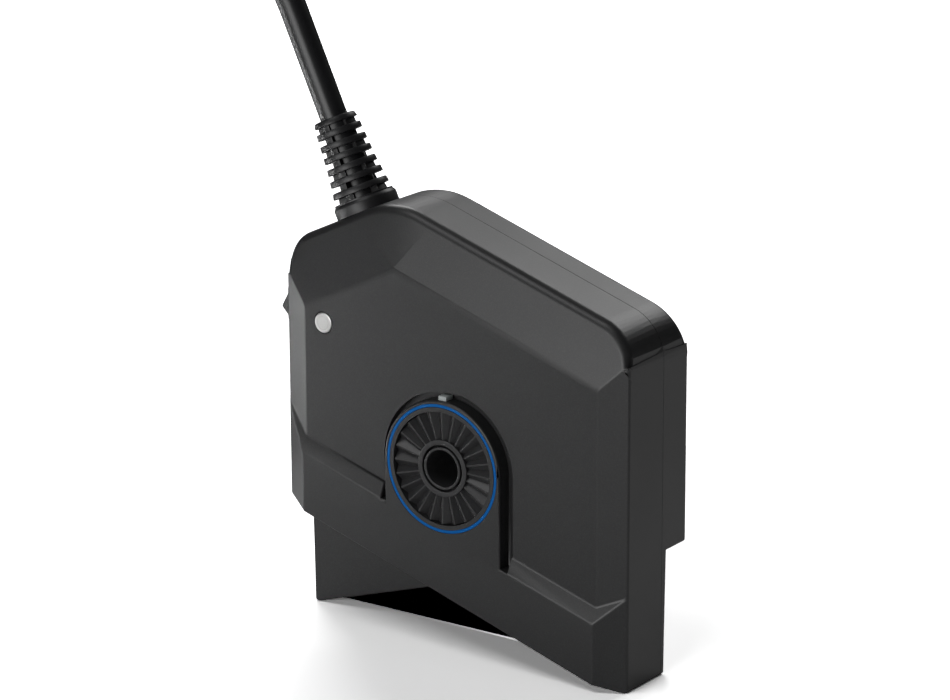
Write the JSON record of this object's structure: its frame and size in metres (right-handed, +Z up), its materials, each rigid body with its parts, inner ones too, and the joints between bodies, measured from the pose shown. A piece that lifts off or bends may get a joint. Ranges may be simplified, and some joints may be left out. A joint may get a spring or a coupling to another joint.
{
  "type": "sonar transducer",
  "caption": "Flat moulded scanning sonar transducer with crossed sloping feet, a splined through hub, and a cable with a locking plug.",
  "frame": {"origin": "bottom centre of the housing's bounding box, on the surface that its feet stand on", "axes": "+X to the viewer's right across the front face, the front face and its coloured ring look along -Y, +Z up"},
  "size_m": [0.4498, 0.0754, 0.208],
  "materials": {
    "shell": "fine moulded grain, satin",
    "hub_plastic": "satin moulded",
    "blue_plastic": "satin",
    "grey_plastic": "satin",
    "steel": "satin",
    "ceramic": "fired ceramic",
    "window": "smooth urethane",
    "backing": "matte",
    "flex_film": "amber film",
    "circuit_board": "solder mask",
    "chip_black": "matte",
    "aluminium": "milled",
    "boot_rubber": "matte moulded",
    "seal_rubber": "matte",
    "cable_jacket": "satin",
    "tie_strap": "woven hook and loop",
    "plug_plastic": "fine grain",
    "collar_plastic": "satin",
    "insert_plastic": "satin",
    "gold": "polished"
  },
  "bodies": {
    "transducer": {"front_shell": "shell", "rear_shell": "shell", "shell_seal": "seal_rubber", "hub_spline_front": "hub_plastic", "hub_spline_rear": "hub_plastic", "aim_ring_front": "blue_plastic", "aim_ring_rear": "blue_plastic", "hub_sleeve": "hub_plastic", "index_mark": "grey_plastic", "temperature_button": "steel", "temperature_sensor": "ceramic", "front_array_window": "window", "rear_array_window": "window", "front_array_elements": "ceramic", "rear_array_elements": "ceramic", "front_array_backing": "backing", "rear_array_backing": "backing", "front_array_flex": "flex_film", "rear_array_flex": "flex_film", "main_board": "circuit_board", "chassis_plate": "aluminium", "board_pillars": "aluminium", "board_screws": "steel", "board_chips": "chip_black", "shield_can": "steel", "strain_relief_boot": "boot_rubber", "gland_seal": "seal_rubber", "inner_cable_tail": "cable_jacket", "cable_clamp": "aluminium", "cable": "cable_jacket", "cable_tail": "cable_jacket", "cable_hank": "cable_jacket", "hank_tie": "tie_strap", "plug_boot": "boot_rubber", "plug_body": "plug_plastic", "plug_insert": "insert_plastic", "plug_contacts": "gold", "plug_seal": "seal_rubber"},
    "collar": {"plug_collar": "collar_plastic"}
  },
  "joints": [
    {"name": "collar_turn", "type": "hinge", "parent": "transducer", "child": "collar", "pos_m": [-0.36, 0, 0.0117], "axis": [1, 0, 0], "continuous": true}
  ]
}
